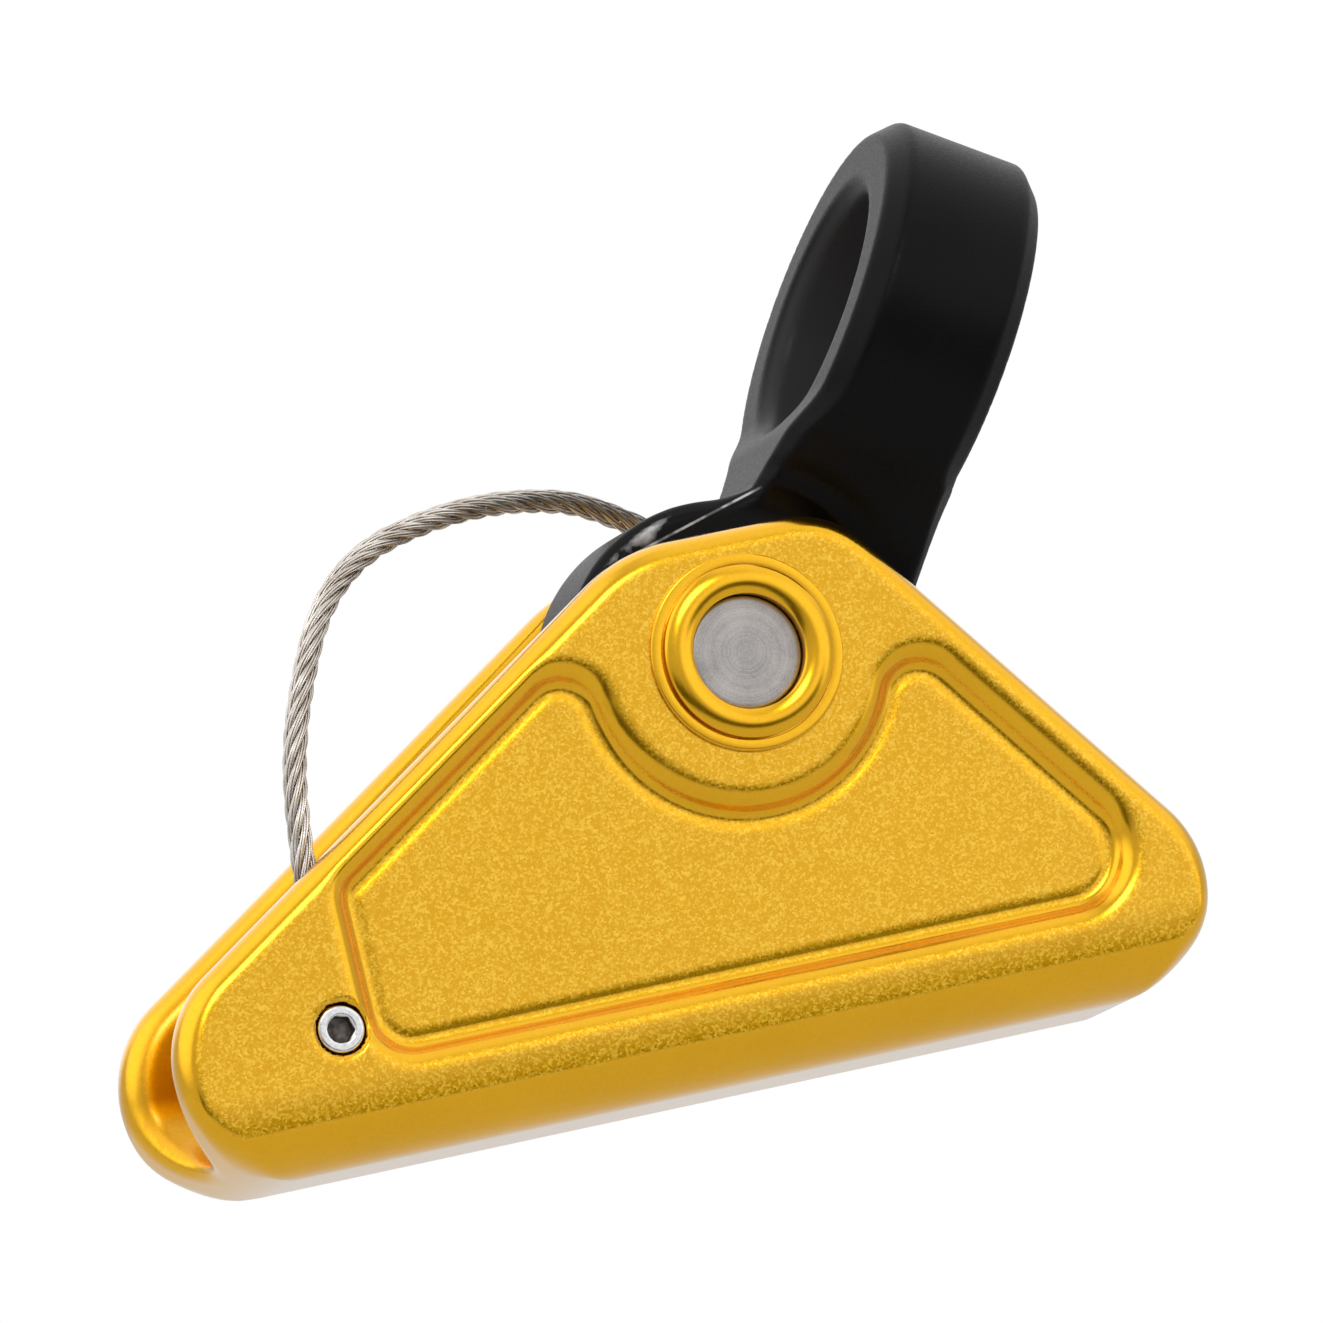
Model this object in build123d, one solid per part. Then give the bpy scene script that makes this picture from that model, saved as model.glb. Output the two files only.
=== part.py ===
"""Cam rope grab: a channel shell, a pivoting cam with a ring eye, and a ball-lock pivot pin on a wire tether.

Millimetres. +X runs along the rope channel towards its short end, +Y along the pivot pin towards its head,
+Z up to the apex of the shell. The origin lies on the rope's axis, straight under the pivot.
"""

from build123d import *
from math import atan, cos, degrees, hypot, radians, sin, sqrt, tan
import os

os.makedirs("parts", exist_ok=True)

# ---------------------------------------------------------------- driving dimensions
PIVOT_Z = 28.5  # pivot above the rope's axis
CHANNEL_R = 7.5  # half-round floor of the rope channel, and half the gap between the plates
FLOOR = 4.1  # wall under the channel
PLATE = 5.35
HALF_T = CHANNEL_R + PLATE
BASE_Z = -CHANNEL_R - FLOOR

SLOPE_LEFT = 0.634  # long upper edge
SLOPE_RIGHT = -1.324  # short upper edge
LEFT_AT = (-23.75, PIVOT_Z + 3.1)
RIGHT_AT = (20.04, PIVOT_Z + 1.62)
TOP_Z = PIVOT_Z + 12.3
END_R_LEFT, END_R_RIGHT = 11.15, 10.7
TOP_R_LEFT, TOP_R_RIGHT = 17.0, 9.5
RIM_R = 2.4  # rounding of the plates' outer rims
BOTTOM_R = 5.5  # rounding of the two long bottom edges

POCKET_DEPTH = 1.75
POCKET_INSET_LEFT, POCKET_INSET_RIGHT = 3.7, 5.0
POCKET_LEFT_X = -44.35
POCKET_BOTTOM_Z = PIVOT_Z - 30.4
POCKET_HUB_X, POCKET_HUB_R = -0.6, 15.3
LOBE_R = 3.5

PIN_R = 11.11 / 2
RUNNING = 0.045  # radial clearance of running fits
BOSS_R, BOSS_STEP = 9.65, 0.5
LIP_R, LIP_BORE_R, LIP_H = 8.8, 5.85, 1.5
LIP_Y = HALF_T + LIP_H
PIN_FRONT_Y = -12.9  # recessed in the front lip
RING_SEAT_R, RING_SEAT_DEPTH = 8.1, 1.2  # recess for the eyelet's retaining ring, rear boss

BALL_R, BALL_Y = 1.25, -9.6
BALL_OUT = 0.8  # how far a locked ball stands out of the shank
BALL_TRAVEL = BALL_OUT + 0.05
BUTTON_TRAVEL = 2.0
BALL_GROOVE_R = PIN_R + BALL_OUT + 0.15
BALL_GROOVE_HALF = BALL_R + 0.15

CAM_HALF = 7.2
CAM_RECESS_HALF, CAM_RECESS_R = 6.7, 9.8
CAM_BORE_R = 7.0
HUB_R = 16.0
JAW_R_REST, JAW_FALL = 29.0, 0.19  # jaw radius straight down at rest, and its fall in mm per degree
JAW_SWEEP = 48
RING_OUT_R, RING_BORE_R, RING_T = 20.0, 12.1, 16.1
RING_CHAMFER = 2.0
BORE_MOUTH_R = 2.0  # rounding of the eye's two edges
ARM_TILT = 31.15  # of the arm's centreline from +Z towards +X
RING_CENTRE_U = 37.9  # along the arm, from the pivot
RING_FACE_A = -0.8  # the ring's left face, across the arm, from the pivot
NECK_R = 15.0  # concave flanks between the ring and the neck
ARM_FOOT_U = 8.0  # where the arm starts, inside the hub
RELIEF_R = 18.8  # the arm is only as thick as the hub inside this radius

WASHER_R, WASHER_T = 9.5, 0.7
SPRING_R, SPRING_WIRE = 8.5, 0.8

HEAD_R, HEAD_LOW, HEAD_HIGH = 8.6, 15.75, 22.75
EYELET_LOW, EYELET_HIGH = 14.45, 15.65
EYELET_R = 8.2

SCREW_X, SCREW_Z = -48.05, 1.15
TETHER_R = 1.19  # 3/32 inch wire rope
TETHER_ROUTE = [
    (-46.96, -7.9, 13.8),
    (-46.3, -7.9, 21.5),
    (-44.6, -6.8, 28.9),
    (-41.4, -5.3, 36.05),
    (-37.5, -3.3, 42.35),
    (-31.65, -0.6, 46.75),
    (-24.55, 2.2, 48.7),
    (-17.4, 5.3, 49.6),
    (-10.4, 8.9, 49.45),
    (-3.7, 12.5, 48.2),
    (2.3, 15.05, 44.65),
]


# ---------------------------------------------------------------- helpers
def along_y(radius, low, high, x=0.0, z=0.0):
    """A cylinder whose axis is parallel to Y."""
    lying = Cylinder(radius, high - low, align=(Align.CENTER, Align.CENTER, Align.MIN))
    return Pos(x, low, z) * Rot(-90, 0, 0) * lying


def pivot_disc(radius, low, high):
    return along_y(radius, low, high, 0.0, PIVOT_Z)


def slab(face, low, high):
    """Extrudes a face drawn in X and Z from y = low to y = high."""
    return Pos(0, high, 0) * Rot(90, 0, 0) * extrude(face, high - low)


def box_between(low, high):
    size = [b - a for a, b in zip(low, high)]
    return Pos(*low) * Box(*size, align=(Align.MIN, Align.MIN, Align.MIN))


def on_line(at, slope, inset=0.0):
    """The height of a sloping edge at x, moved inwards by inset."""
    drop = inset * sqrt(1 + slope**2)
    return lambda x: at[1] - drop + slope * (x - at[0])


def crossing_x(at, slope, z, inset=0.0):
    drop = inset * sqrt(1 + slope**2)
    return at[0] + (z + drop - at[1]) / slope


def turned(points):
    """A solid of revolution about the pin's axis from (radius, y) points."""
    face = make_face(Polyline(points, close=True))
    return Pos(0, 0, PIVOT_Z) * revolve(face, Axis.Y)


# ---------------------------------------------------------------- shell
def outline():
    left_bottom = crossing_x(LEFT_AT, SLOPE_LEFT, BASE_Z)
    left_top = crossing_x(LEFT_AT, SLOPE_LEFT, TOP_Z)
    right_top = crossing_x(RIGHT_AT, SLOPE_RIGHT, TOP_Z)
    right_bottom = crossing_x(RIGHT_AT, SLOPE_RIGHT, BASE_Z)
    corners = [(left_bottom, BASE_Z), (left_top, TOP_Z), (right_top, TOP_Z), (right_bottom, BASE_Z)]
    face = make_face(Polyline(corners, close=True))
    for corner, radius in zip(corners, (END_R_LEFT, TOP_R_LEFT, TOP_R_RIGHT, END_R_RIGHT)):
        face = fillet(face.vertices().sort_by_distance((*corner, 0))[0], radius)
    return face


def pocket():
    """The recess in a plate's outer face: a triangle that wraps under the pivot boss."""
    left_edge = on_line(LEFT_AT, SLOPE_LEFT, POCKET_INSET_LEFT)
    apex_x = -6.0
    right_top_z = PIVOT_Z + 3
    right_top_x = crossing_x(RIGHT_AT, SLOPE_RIGHT, right_top_z, POCKET_INSET_RIGHT)
    right_low_x = crossing_x(RIGHT_AT, SLOPE_RIGHT, POCKET_BOTTOM_Z, POCKET_INSET_RIGHT)
    corners = [
        (POCKET_LEFT_X, POCKET_BOTTOM_Z),
        (POCKET_LEFT_X, left_edge(POCKET_LEFT_X)),
        (apex_x, left_edge(apex_x)),
        (right_top_x, right_top_z),
        (right_low_x, POCKET_BOTTOM_Z),
    ]
    face = make_face(Polyline(corners, close=True))
    face -= Pos(POCKET_HUB_X, PIVOT_Z) * Circle(POCKET_HUB_R)
    face = face.faces().sort_by(SortBy.AREA)[-1]
    lobes = [
        v for v in face.vertices()
        if abs(hypot(v.X - POCKET_HUB_X, v.Y - PIVOT_Z) - POCKET_HUB_R) < 0.01
    ]
    face = fillet(lobes, LOBE_R)
    for corner, radius in ((corners[0], 4.0), (corners[1], 2.5), (corners[4], 5.0)):
        face = fillet(face.vertices().sort_by_distance((*corner, 0))[0], radius)
    return face


def boss(side):
    """The raised collar round the pin on one plate: side is -1 at the front and 1 at the rear."""
    points = [
        (PIN_R + 1.5, HALF_T - 1.0),
        (BOSS_R, HALF_T - 1.0),
        (BOSS_R, HALF_T + BOSS_STEP),
        (LIP_R, HALF_T + BOSS_STEP),
        (LIP_R, LIP_Y - 0.7),
        (LIP_R - 0.7, LIP_Y),
        (PIN_R + 1.5, LIP_Y),
    ]
    return turned([(r, side * y) for r, y in points])


def shell():
    body = slab(outline(), -HALF_T, HALF_T)
    rims = body.edges().filter_by(lambda e: abs(abs(e.center().Y) - HALF_T) < 0.01)
    body = fillet(rims, RIM_R)
    length = 140
    section = Rectangle(2 * HALF_T, 80, align=(Align.CENTER, Align.MIN))
    section = fillet(section.vertices().sort_by(Axis.Y)[:2], BOTTOM_R)
    across = Plane(origin=(-length / 2, 0, BASE_Z), x_dir=(0, 1, 0), z_dir=(1, 0, 0))
    body &= across.location * extrude(section, length)
    for side in (-1, 1):
        low, high = sorted((side * (HALF_T - POCKET_DEPTH), side * (HALF_T + 1)))
        body -= slab(pocket(), low, high)
        body += boss(side)
    body -= box_between((-80, -CHANNEL_R, 0), (80, CHANNEL_R, 60))
    body -= Rot(0, 90, 0) * Cylinder(CHANNEL_R, 160)
    body -= pivot_disc(PIN_R + RUNNING, -LIP_Y - 1, LIP_Y + 1)
    body -= pivot_disc(LIP_BORE_R, -LIP_Y - 1, PIN_FRONT_Y + 0.4)
    body -= pivot_disc(RING_SEAT_R, LIP_Y - RING_SEAT_DEPTH, LIP_Y + 1)
    body -= pivot_disc(BALL_GROOVE_R, BALL_Y - BALL_GROOVE_HALF, BALL_Y + BALL_GROOVE_HALF)
    body -= spring_leg_hole(CAM_RECESS_HALF, HALF_T - 3.6, 1)
    return body - anchor_pocket()


def anchor_frame():
    """The tether leaves the anchor screw at a slight lean, in the front plate's inner face."""
    lean = degrees(atan((TETHER_ROUTE[0][0] - SCREW_X) / (TETHER_ROUTE[0][2] - SCREW_Z)))
    return Pos(SCREW_X, 0, SCREW_Z) * Rot(0, lean, 0)


ANCHOR_REACH = hypot(TETHER_ROUTE[0][0] - SCREW_X, TETHER_ROUTE[0][2] - SCREW_Z)
TANG_LOW, TANG_HIGH = -9.2, -7.6  # across the plate
TANG_HALF_W = 2.8
BARREL_R = 2.0
BARREL_Y = TETHER_ROUTE[0][1]
BARREL_FOOT = 6.4
SCREW_HEAD_R, SCREW_HEAD_Y, SCREW_SEAT_Y = 4.65 / 2, -12.55, -10.95
SCREW_R = 1.42


def anchor_pocket():
    """The seat of the tether's terminal, open at the top, with the screw's counterbored hole."""
    gap = 0.08
    half, reach = TANG_HALF_W + gap, 24
    tang = box_between((-half, TANG_LOW - gap, -half), (half, -CHANNEL_R + 0.5, reach))
    lying = Cylinder(BARREL_R + 0.2, reach, align=(Align.CENTER, Align.CENTER, Align.MIN))
    barrel = Pos(0, BARREL_Y, BARREL_FOOT - 0.6) * lying
    counterbore = along_y(5.15 / 2, -HALF_T - 1, SCREW_SEAT_Y, SCREW_X, SCREW_Z)
    clearance = along_y(SCREW_R + 0.13, -HALF_T, -CHANNEL_R, SCREW_X, SCREW_Z)
    return anchor_frame() * (tang + barrel) + counterbore + clearance


# ---------------------------------------------------------------- cam
def arm_point(u, a):
    """A point of the cam's profile from its place along (u) and across (a) the arm."""
    c, s = cos(radians(ARM_TILT)), sin(radians(ARM_TILT))
    return (u * s + a * c, PIVOT_Z + u * c - a * s)


def jaw_point(turn, rise=0.0):
    """A point of the gripping spiral, turn degrees back from straight under the pivot."""
    radius = JAW_R_REST - JAW_FALL * turn + rise
    angle = radians(-90 - turn)
    return (radius * cos(angle), PIVOT_Z + radius * sin(angle))


def cam_profile():
    ridge, pitch = 0.45, 6
    teeth = []
    for turn in range(0, JAW_SWEEP, pitch):
        teeth += [jaw_point(turn), jaw_point(turn + pitch / 2, -ridge)]
    start, end = radians(140), radians(90 - ARM_TILT + 4)
    hub = ThreePointArc(
        (HUB_R * cos(start), PIVOT_Z + HUB_R * sin(start)),
        (HUB_R * cos((start + end) / 2), PIVOT_Z + HUB_R * sin((start + end) / 2)),
        (HUB_R * cos(end), PIVOT_Z + HUB_R * sin(end)),
    )
    right_face = RING_FACE_A + RING_T
    path = [
        hub @ 1,
        arm_point(22, RING_FACE_A + 1.0),
        arm_point(22, right_face - 1.0),
        arm_point(9.5, right_face - 0.6),
        (15.0, PIVOT_Z - 9.0),
        (5.0, PIVOT_Z - JAW_R_REST + 1.2),
        *teeth,
        jaw_point(JAW_SWEEP),
        hub @ 0,
    ]
    return make_face([hub, Polyline(path)])


def ring_frame():
    """Turns a solid drawn about +Z (the eye's axis) with +X along the arm into the arm's place."""
    centre = arm_point(RING_CENTRE_U, RING_FACE_A)
    plane = Plane(
        origin=(centre[0], 0, centre[1]),
        x_dir=(sin(radians(ARM_TILT)), 0, cos(radians(ARM_TILT))),
        z_dir=(cos(radians(ARM_TILT)), 0, -sin(radians(ARM_TILT))),
    )
    return plane.location


def ring_and_neck():
    drop = sqrt((RING_OUT_R + NECK_R) ** 2 - (CAM_HALF + NECK_R) ** 2)
    foot = ARM_FOOT_U - RING_CENTRE_U
    touch = RING_OUT_R / (RING_OUT_R + NECK_R)
    touch_x, touch_y = -drop * touch, (CAM_HALF + NECK_R) * touch
    outline_face = make_face(
        [
            Line((foot, -CAM_HALF), (-drop, -CAM_HALF)),
            ThreePointArc((-drop, -CAM_HALF), flank_point(drop, -1), (touch_x, -touch_y)),
            ThreePointArc((touch_x, -touch_y), (RING_OUT_R, 0), (touch_x, touch_y)),
            ThreePointArc((touch_x, touch_y), flank_point(drop, 1), (-drop, CAM_HALF)),
            Line((-drop, CAM_HALF), (foot, CAM_HALF)),
            Line((foot, CAM_HALF), (foot, -CAM_HALF)),
        ]
    )
    solid = extrude(outline_face, RING_T)
    rims = [e for e in solid.edges() if abs(e.center().Z) < 0.01 or abs(e.center().Z - RING_T) < 0.01]
    solid = chamfer([e for e in rims if e.center().X > foot + 0.1], RING_CHAMFER)
    bore = Cylinder(RING_BORE_R, RING_T, align=(Align.CENTER, Align.CENTER, Align.MIN))
    solid -= bore
    mouths = [e for e in solid.edges().filter_by(GeomType.CIRCLE) if abs(e.radius - RING_BORE_R) < 0.01]
    solid = fillet(mouths, BORE_MOUTH_R)
    return ring_frame() * solid


def flank_point(drop, side):
    """The middle of a concave flank, on the circle about (-drop, side * (CAM_HALF + NECK_R))."""
    angle = atan(drop / (CAM_HALF + NECK_R)) / 2
    return (-drop + NECK_R * sin(angle), side * (CAM_HALF + NECK_R - NECK_R * cos(angle)))


def cam():
    hub = slab(cam_profile(), -CAM_HALF, CAM_HALF)
    arm = ring_and_neck()
    for side in (-1, 1):
        low, high = sorted((side * CAM_HALF, side * (CAM_HALF + 14)))
        arm -= pivot_disc(RELIEF_R, low, high)
    body = hub + arm
    body -= pivot_disc(CAM_BORE_R, -20, 20)
    for side in (-1, 1):
        low, high = sorted((side * CAM_RECESS_HALF, side * (CAM_HALF + 1)))
        body -= pivot_disc(CAM_RECESS_R, low, high)
    pocket_wall = SPRING_WIRE / 2 + 0.3
    spring_pocket = pivot_disc(SPRING_R + pocket_wall, SPRING_LOW - 0.1, CAM_RECESS_HALF + 0.1)
    spring_pocket -= pivot_disc(SPRING_R - pocket_wall, SPRING_LOW - 0.1, CAM_RECESS_HALF + 0.1)
    body -= spring_pocket
    return body - spring_leg_hole(SPRING_LOW - SPRING_LEG, SPRING_LOW + 0.1, -1)


# ---------------------------------------------------------------- springs, bush, washers
SPRING_LOW, SPRING_TURNS, SPRING_LEG, SPRING_BEND = 1.9, 2, 1.6, 0.9


def spring_leg_hole(low, high, side):
    """side is -1 for the leg in the cam and 1 for the leg in the rear plate."""
    return along_y(SPRING_WIRE / 2 + 0.3, low, high, SPRING_R, PIVOT_Z - side * SPRING_BEND)


def helix_spring(radius, wire, low, high, turns, bend=0.0, leg=0.0):
    """A round-wire helix about the pin's axis, its wire's centres from y = low to y = high.

    With a leg, the wire turns parallel to the axis at both ends, over arcs of radius bend.
    """
    coil = Helix((high - low) / turns, high - low, radius)
    edges = [coil]
    for end, way in ((0, -1), (1, 1)) if leg else ():
        point, along = coil @ end, (coil % end) * way
        flat = Vector(along.X, along.Y, 0).normalized()
        arc = TangentArc(point, point + flat * bend + Vector(0, 0, way * bend), tangent=along)
        edges += [arc, Line(arc @ 1, (arc @ 1) + (arc % 1) * leg)]
    path = Wire(edges)
    start = Plane(origin=path @ 0, z_dir=path % 0)
    return Pos(0, low, PIVOT_Z) * Rot(-90, 0, 0) * sweep(start * Circle(wire / 2), path)


def cam_spring():
    low = SPRING_LOW + SPRING_WIRE / 2 + SPRING_BEND
    high = CAM_RECESS_HALF - SPRING_WIRE / 2 - SPRING_BEND
    return helix_spring(SPRING_R, SPRING_WIRE, low, high, SPRING_TURNS, SPRING_BEND, SPRING_LEG)


def washer(side):
    low, high = sorted((side * (CAM_RECESS_HALF + 0.05), side * (CAM_RECESS_HALF + 0.05 + WASHER_T)))
    ring = pivot_disc(WASHER_R, low, high) - pivot_disc(PIN_R + 0.06, low, high)
    return ring - spring_leg_hole(low, high, side) if side > 0 else ring


def bushing():
    return pivot_disc(CAM_BORE_R - 0.01, -CAM_RECESS_HALF, CAM_RECESS_HALF) - pivot_disc(
        PIN_R + RUNNING, -CAM_RECESS_HALF, CAM_RECESS_HALF
    )


# ---------------------------------------------------------------- pin
SHANK_BORE_R = 3.9
COIL_R, COIL_WIRE, COIL_TURNS = 1.25, 0.5, 5  # the spindle's spring
SPINDLE_R = 3.85
ROD_R = 2.2
RAMP = BALL_TRAVEL / BUTTON_TRAVEL
BALL_CENTRE_R = PIN_R + BALL_OUT - BALL_R
SHANK_END_Y = 18.4
SNAP_R = 5.0
SNAP_LOW, SNAP_HIGH = 13.25, 14.05
BORE_BOTTOM_Y = PIN_FRONT_Y + 0.8
SPRING_HOLE_R, SPRING_HOLE_END = 1.75, -6.6


def pin_shank():
    chamfer_r = 0.4
    tube = turned(
        [
            (0, PIN_FRONT_Y),
            (PIN_R - chamfer_r, PIN_FRONT_Y),
            (PIN_R, PIN_FRONT_Y + chamfer_r),
            (PIN_R, SHANK_END_Y),
            (SHANK_BORE_R, SHANK_END_Y),
            (SHANK_BORE_R, BORE_BOTTOM_Y),
            (0, BORE_BOTTOM_Y),
        ]
    )
    groove = pivot_disc(PIN_R + 1, SNAP_LOW - 0.03, SNAP_HIGH + 0.03)
    groove -= pivot_disc(SNAP_R, SNAP_LOW - 1, SNAP_HIGH + 1)
    holes = Pos(0, BALL_Y, PIVOT_Z) * Cylinder(BALL_R + 0.05, 2 * PIN_R + 2)
    return tube - groove - holes


def pin_spindle():
    """The inner spindle. Its cone lets the balls sink in as the button pushes it forwards."""
    cone_r = BALL_CENTRE_R - BALL_R * sqrt(1 + RAMP**2) - 0.03
    land_end = BALL_Y + (cone_r - SPINDLE_R) / RAMP
    cone_end = -7.0
    cone_end_r = cone_r - RAMP * (cone_end - BALL_Y)
    journal_low, journal_high = 13.0, 16.0
    front = BORE_BOTTOM_Y + BUTTON_TRAVEL + 0.1
    return turned(
        [
            (SPRING_HOLE_R, front),
            (SPINDLE_R, front),
            (SPINDLE_R, land_end),
            (cone_end_r, cone_end),
            (ROD_R, cone_end + 1.0),
            (ROD_R, journal_low),
            (SPINDLE_R, journal_low),
            (SPINDLE_R, journal_high),
            (ROD_R, journal_high),
            (ROD_R, BUTTON_HOLE_END),
            (0, BUTTON_HOLE_END),
            (0, SPRING_HOLE_END),
            (SPRING_HOLE_R, SPRING_HOLE_END),
        ]
    )


def spindle_spring():
    clear = COIL_WIRE / 2 + 0.05
    return helix_spring(COIL_R, COIL_WIRE, BORE_BOTTOM_Y + clear, SPRING_HOLE_END - clear, COIL_TURNS)


BUTTON_FLOOR, BUTTON_COLLAR_END, BUTTON_TOP, BUTTON_HOLE_END = 20.65, 21.6, 25.1, 23.0
BUTTON_R, BUTTON_COLLAR_R = 4.0, 4.6


def release_button():
    edge = 0.6
    return turned(
        [
            (ROD_R, BUTTON_FLOOR),
            (BUTTON_COLLAR_R, BUTTON_FLOOR),
            (BUTTON_COLLAR_R, BUTTON_COLLAR_END),
            (BUTTON_R, BUTTON_COLLAR_END),
            (BUTTON_R, BUTTON_TOP - edge),
            (BUTTON_R - edge, BUTTON_TOP),
            (0, BUTTON_TOP),
            (0, BUTTON_HOLE_END),
            (ROD_R, BUTTON_HOLE_END),
        ]
    )


def pin_head():
    """A waisted grip with a flange that bears on the eyelet, and a lip that keeps the button in."""
    waist = 1.1
    return turned(
        [
            (PIN_R, HEAD_LOW),
            (HEAD_R - 0.5, HEAD_LOW),
            (HEAD_R, HEAD_LOW + 0.5),
            (HEAD_R, HEAD_LOW + 1.6),
            (HEAD_R - waist, HEAD_LOW + 2.6),
            (HEAD_R - waist, HEAD_HIGH - 2.4),
            (HEAD_R - 0.3, HEAD_HIGH - 1.4),
            (HEAD_R - 0.3, HEAD_HIGH - 0.6),
            (HEAD_R - 0.9, HEAD_HIGH),
            (BUTTON_R + 0.08, HEAD_HIGH),
            (BUTTON_R + 0.08, BUTTON_COLLAR_END + 0.05),
            (BUTTON_COLLAR_R + 0.2, BUTTON_COLLAR_END + 0.05),
            (BUTTON_COLLAR_R + 0.2, SHANK_END_Y),
            (PIN_R, SHANK_END_Y),
        ]
    )


def lock_ball(side):
    return Pos(0, BALL_Y, PIVOT_Z + side * BALL_CENTRE_R) * Sphere(BALL_R)


def eyelet():
    """A swivelling ring round the shank, with a tab that carries the barrel crimped on the tether."""
    start = Vector(*TETHER_ROUTE[-1])
    axis = (start - Vector(*TETHER_ROUTE[-2])).normalized()
    barrel_length, barrel_r = 7.0, 2.2
    barrel = Plane(origin=start, z_dir=axis).location * Cylinder(
        barrel_r, barrel_length, align=(Align.CENTER, Align.CENTER, Align.MIN)
    )
    middle = start + axis * (barrel_length / 2)
    out = Vector(middle.X, 0, middle.Z - PIVOT_Z)
    thick = EYELET_HIGH - EYELET_LOW
    tab = Box(barrel_length - 1, thick, out.length, align=(Align.CENTER, Align.MIN, Align.MIN))
    lean = degrees(atan(out.X / out.Z))
    plate = pivot_disc(EYELET_R, EYELET_LOW, EYELET_HIGH)
    plate += Pos(0, EYELET_LOW, PIVOT_Z) * Rot(0, lean, 0) * tab
    body = plate + barrel
    body -= pivot_disc(PIN_R + 0.1, EYELET_LOW - 1, EYELET_HIGH + 1)
    return body - pivot_disc(HEAD_R + 0.3, HEAD_LOW - 0.02, HEAD_HIGH)


def eyelet_ring():
    """The open snap ring in the shank's groove."""
    ring = pivot_disc(RING_SEAT_R - 0.7, SNAP_LOW, SNAP_HIGH) - pivot_disc(SNAP_R + 0.03, SNAP_LOW, SNAP_HIGH)
    gap = 1.6
    return ring - box_between((-gap, SNAP_LOW - 1, PIVOT_Z - 12), (gap, SNAP_HIGH + 1, PIVOT_Z - 3))


# ---------------------------------------------------------------- tether and its anchor
def bend_radii(points):
    """Each corner's arc takes 0.45 of the shorter run beside it."""
    radii = []
    for a, b, c in zip(points, points[1:], points[2:]):
        before, after = Vector(*b) - Vector(*a), Vector(*c) - Vector(*b)
        half_turn = radians(before.get_angle(after)) / 2
        radii.append(0.45 * min(before.length, after.length) / tan(half_turn))
    return radii


def tether():
    radii = bend_radii(TETHER_ROUTE)
    path = FilletPolyline(*TETHER_ROUTE, radius=radii)
    start = Plane(origin=path @ 0, z_dir=path % 0)
    tube = sweep(start * Circle(TETHER_R), path)
    print("tether bend radii", [round(r, 1) for r in radii])
    print("tether length", round(path.length, 2), "volume over section x length", end=" ")
    print(round(tube.volume / (Circle(TETHER_R).area * path.length), 5))
    return tube


def anchor_terminal():
    tang = box_between((-TANG_HALF_W, TANG_LOW, -TANG_HALF_W), (TANG_HALF_W, TANG_HIGH, BARREL_FOOT + 2))
    foot = [e for e in tang.edges().filter_by(Axis.Y) if e.center().Z < 0]
    tang = fillet(foot, TANG_HALF_W - 0.1)
    barrel = Pos(0, BARREL_Y, BARREL_FOOT) * Cylinder(
        BARREL_R, ANCHOR_REACH - BARREL_FOOT, align=(Align.CENTER, Align.CENTER, Align.MIN)
    )
    body = anchor_frame() * (tang + barrel)
    return body - along_y(SCREW_R + 0.03, -12, -5, SCREW_X, SCREW_Z)


def anchor_screw():
    head = along_y(SCREW_HEAD_R, SCREW_HEAD_Y, SCREW_SEAT_Y, SCREW_X, SCREW_Z)
    rim = head.edges().filter_by(GeomType.CIRCLE).sort_by(Axis.Y)[0]
    head = chamfer(rim, 0.25)
    shank = along_y(SCREW_R, SCREW_SEAT_Y, TANG_HIGH, SCREW_X, SCREW_Z)
    socket = extrude(RegularPolygon(2.38 / 2, 6, major_radius=False, rotation=30), 1.1)
    socket = Pos(SCREW_X, SCREW_HEAD_Y + 1.1, SCREW_Z) * Rot(90, 0, 0) * socket
    return head + shank - socket


# ---------------------------------------------------------------- all nodes
NODES = {
    "shell": shell(),
    "cam": cam(),
    "cam_bushing": bushing(),
    "cam_spring": cam_spring(),
    "washer_front": washer(-1),
    "washer_rear": washer(1),
    "pin_shank": pin_shank(),
    "pin_spindle": pin_spindle(),
    "spindle_spring": spindle_spring(),
    "release_button": release_button(),
    "pin_head": pin_head(),
    "lock_ball_lower": lock_ball(-1),
    "lock_ball_upper": lock_ball(1),
    "lanyard_eyelet": eyelet(),
    "eyelet_ring": eyelet_ring(),
    "lanyard_cable": tether(),
    "anchor_terminal": anchor_terminal(),
    "anchor_screw": anchor_screw(),
}
for name, shape in NODES.items():
    export_step(shape, f"parts/{name}.step")
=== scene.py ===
"""Cam rope grab in Blender: gold channel shell, black cam with a ring eye, ball-lock pin and wire tether.

The shapes are written as distance functions in millimetres in the CAD frame, and meshed in metres.
"""

from math import atan2, cos, hypot, pi, radians, sin, sqrt, tan

import bmesh
import bpy
import numpy as np
from mathutils import Matrix, Vector


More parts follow.
